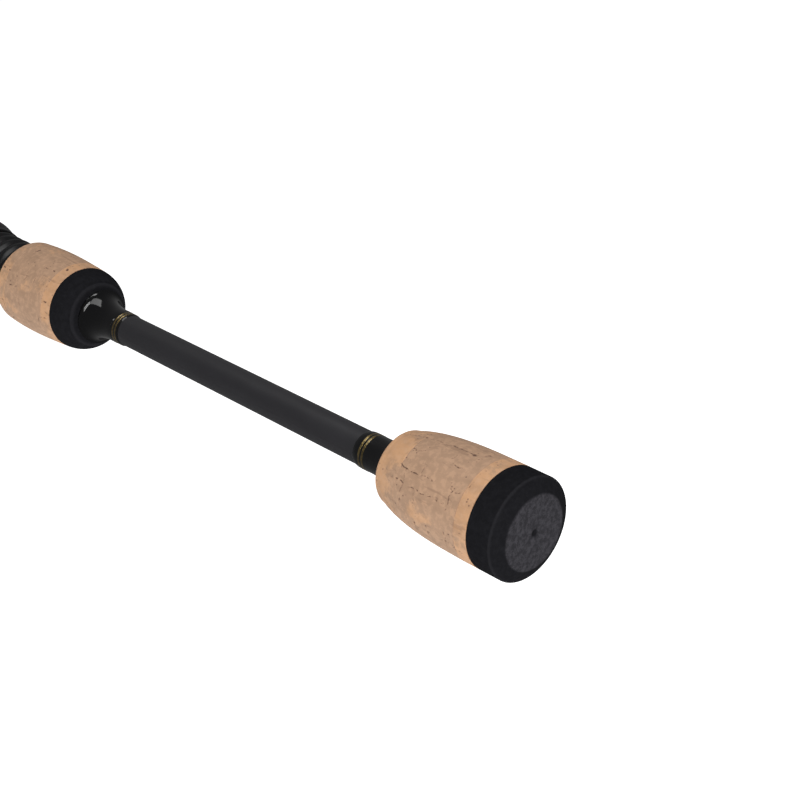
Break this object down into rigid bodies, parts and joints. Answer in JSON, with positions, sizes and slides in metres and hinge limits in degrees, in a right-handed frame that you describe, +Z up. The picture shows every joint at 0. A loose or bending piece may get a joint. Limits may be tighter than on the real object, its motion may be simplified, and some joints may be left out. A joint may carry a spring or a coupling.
{
  "type": "ice fishing rod",
  "caption": "Short split-grip fishing rod with cork and foam grips, a screw-locking reel seat, ringed line guides and a slim tapered blank.",
  "frame": {"origin": "centre of the butt face", "axes": "+X along the rod to the tip, +Z up, away from the reel and the line guides, which are on the -Z side"},
  "size_m": [0.914, 0.0284, 0.0421],
  "materials": {
    "cork": "natural cork, sanded",
    "foam": "fine-celled foam, matt",
    "gloss_wrap": "black thread under clear epoxy",
    "gold_thread": "metallic gold thread under clear epoxy",
    "matt_tube": "matt black lacquer",
    "blank": "dark satin lacquer over carbon",
    "gloss_check": "gloss black",
    "seat_plastic": "satin black moulded plastic",
    "hood": "satin black",
    "arbor": "plain hard foam",
    "keeper_steel": "bright wire",
    "guide_metal": "dark plated steel",
    "ring_ceramic": "polished dark ceramic"
  },
  "bodies": {
    "rod": {"butt_cap": "foam", "rear_cork_ring_1": "cork", "rear_cork_ring_2": "cork", "rear_cork_ring_3": "cork", "rear_wrap": "gloss_wrap", "rear_gold_lines": "gold_thread", "handle_tube": "matt_tube", "mid_wrap": "gloss_wrap", "mid_gold_lines": "gold_thread", "mid_check": "gloss_check", "mid_foam_ring": "foam", "mid_cork_ring_1": "cork", "mid_cork_ring_2": "cork", "mid_cork_ring_3": "cork", "seat_body": "seat_plastic", "seat_arbor_rear": "arbor", "seat_arbor_front": "arbor", "fixed_hood": "hood", "fore_cork_ring_1": "cork", "fore_cork_ring_2": "cork", "fore_foam_ring": "foam", "front_check": "gloss_check", "blank": "blank", "hook_keeper": "keeper_steel", "keeper_wraps": "gloss_wrap", "tip_tube": "guide_metal", "tip_frame": "guide_metal", "tip_ring": "ring_ceramic", "tip_wrap": "gloss_wrap", "guide_1_frame": "guide_metal", "guide_1_ring": "ring_ceramic", "guide_1_wraps": "gloss_wrap", "guide_2_frame": "guide_metal", "guide_2_ring": "ring_ceramic", "guide_2_wraps": "gloss_wrap", "guide_3_frame": "guide_metal", "guide_3_ring": "ring_ceramic", "guide_3_wraps": "gloss_wrap", "guide_4_frame": "guide_metal", "guide_4_ring": "ring_ceramic", "guide_4_wraps": "gloss_wrap", "guide_5_frame": "guide_metal", "guide_5_ring": "ring_ceramic", "guide_5_wraps": "gloss_wrap"},
    "hood": {"sliding_hood": "hood"},
    "nut": {"locking_nut": "seat_plastic"}
  },
  "joints": [
    {"name": "nut_turn", "type": "hinge", "parent": "hood", "child": "nut", "pos_m": [0.259, 0, 0], "axis": [1, 0, 0], "range_deg": [-1375, 545]},
    {"name": "hood_slide", "type": "slide", "parent": "rod", "child": "hood", "axis": [1, 0, 0], "range_m": [-0.018, 0.007]}
  ],
  "couplings": [
    {"joint": "nut_turn", "follows": "hood_slide", "rad_per_m": 1309}
  ]
}
